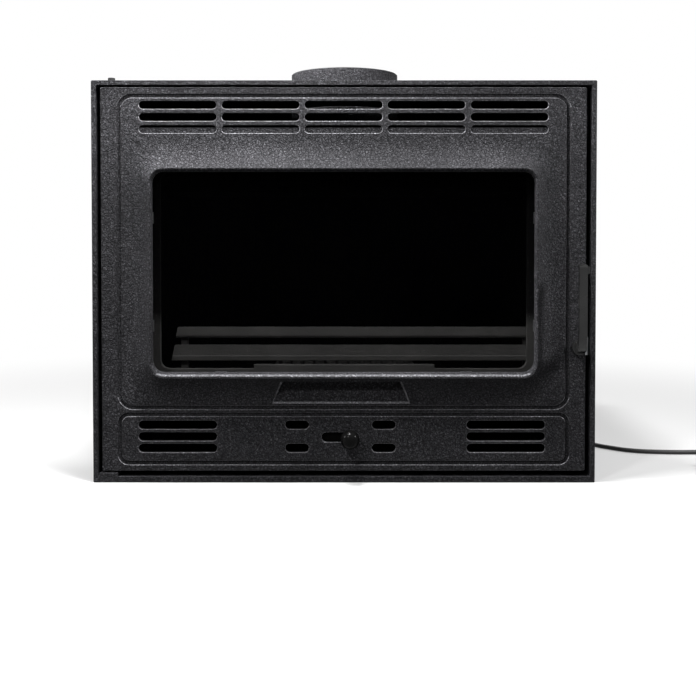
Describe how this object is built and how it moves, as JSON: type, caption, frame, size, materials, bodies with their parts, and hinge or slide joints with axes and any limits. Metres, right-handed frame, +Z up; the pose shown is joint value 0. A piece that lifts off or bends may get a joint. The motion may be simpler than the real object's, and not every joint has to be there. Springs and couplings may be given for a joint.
{
  "type": "fireplace insert",
  "caption": "Fireplace insert: cast door with flared window surround, slotted grilles, air slider and lever handle in a thin frame; firebox, flue collar and fan in a sheet casing; mains lead.",
  "frame": {"origin": "middle of the casing's base on the surface that the insert stands on, halfway between the front frame's face and the back panel", "axes": "+X to the right as seen from the front, +Y to the back, +Z up"},
  "size_m": [1.0202, 0.45, 0.5957],
  "materials": {
    "stove_paint": "matt black high-temperature stove paint on a fine sand-cast surface",
    "casing_paint": "thin black paint on folded sheet steel",
    "firebox_iron": "bare grey casting, lightly sooted",
    "zinc_steel": "zinc-plated steel",
    "seal_rope": "knitted glass-fibre rope and tape",
    "ceramic_glass": "clear heat-resistant ceramic glass",
    "knob_bakelite": "smooth black thermoset plastic",
    "fan_plastic": "moulded black plastic",
    "cord_rubber": "black rubber-sheathed mains lead and moulded plug"
  },
  "bodies": {
    "insert": {"front_frame": "stove_paint", "hinge_pin_upper": "casing_paint", "hinge_pin_lower": "casing_paint", "hinge_washer": "casing_paint", "latch_keeper": "zinc_steel", "firebox_front": "firebox_iron", "firebox_left": "firebox_iron", "firebox_right": "firebox_iron", "firebox_back": "firebox_iron", "firebox_floor": "firebox_iron", "firebox_roof": "firebox_iron", "baffle_plate": "firebox_iron", "fire_grate": "firebox_iron", "log_guard": "firebox_iron", "ash_box": "casing_paint", "ash_pan": "casing_paint", "flue_collar": "stove_paint", "collar_bolt_1": "zinc_steel", "collar_bolt_2": "zinc_steel", "collar_bolt_3": "zinc_steel", "collar_bolt_4": "zinc_steel", "casing_left": "casing_paint", "casing_right": "casing_paint", "casing_top": "casing_paint", "casing_base": "casing_paint", "casing_back": "casing_paint", "frame_bolt_lower_left": "zinc_steel", "frame_bolt_upper_left": "zinc_steel", "frame_bolt_lower_right": "zinc_steel", "frame_bolt_upper_right": "zinc_steel", "fan_partition": "casing_paint", "fan_frame": "fan_plastic", "fan_guard": "zinc_steel", "fan_lead": "cord_rubber", "cord_gland": "cord_rubber", "power_cord": "cord_rubber", "cord_coil": "cord_rubber", "cord_tie": "cord_rubber", "power_plug": "cord_rubber"},
    "door": {"door_casting": "stove_paint", "window_glass": "ceramic_glass", "glass_gasket": "seal_rope", "glass_retainer": "zinc_steel", "window_rope": "seal_rope", "air_box_rope": "seal_rope", "slider_guide_upper": "zinc_steel", "slider_guide_lower": "zinc_steel"},
    "handle": {"door_handle": "stove_paint", "handle_shaft": "zinc_steel", "latch_tongue": "zinc_steel", "shaft_nut": "zinc_steel"},
    "air_slider": {"air_slider_plate": "casing_paint", "slider_stem": "zinc_steel", "air_knob": "knob_bakelite"},
    "fan_rotor": {"fan_impeller": "fan_plastic"}
  },
  "joints": [
    {"name": "door_swing", "type": "hinge", "parent": "insert", "child": "door", "pos_m": [-0.324, -0.198, 0.28], "axis": [0, 0, -1], "range_deg": [0, 110]},
    {"name": "handle_turn", "type": "hinge", "parent": "door", "child": "handle", "pos_m": [0.326, -0.198, 0.1895], "axis": [0, -1, 0], "range_deg": [0, 75]},
    {"name": "air_slide", "type": "slide", "parent": "door", "child": "air_slider", "axis": [1, 0, 0], "range_m": [-0.034, 0.007]},
    {"name": "fan_spin", "type": "hinge", "parent": "insert", "child": "fan_rotor", "pos_m": [0, 0.15, 0.066], "axis": [0, 1, 0], "continuous": true}
  ]
}
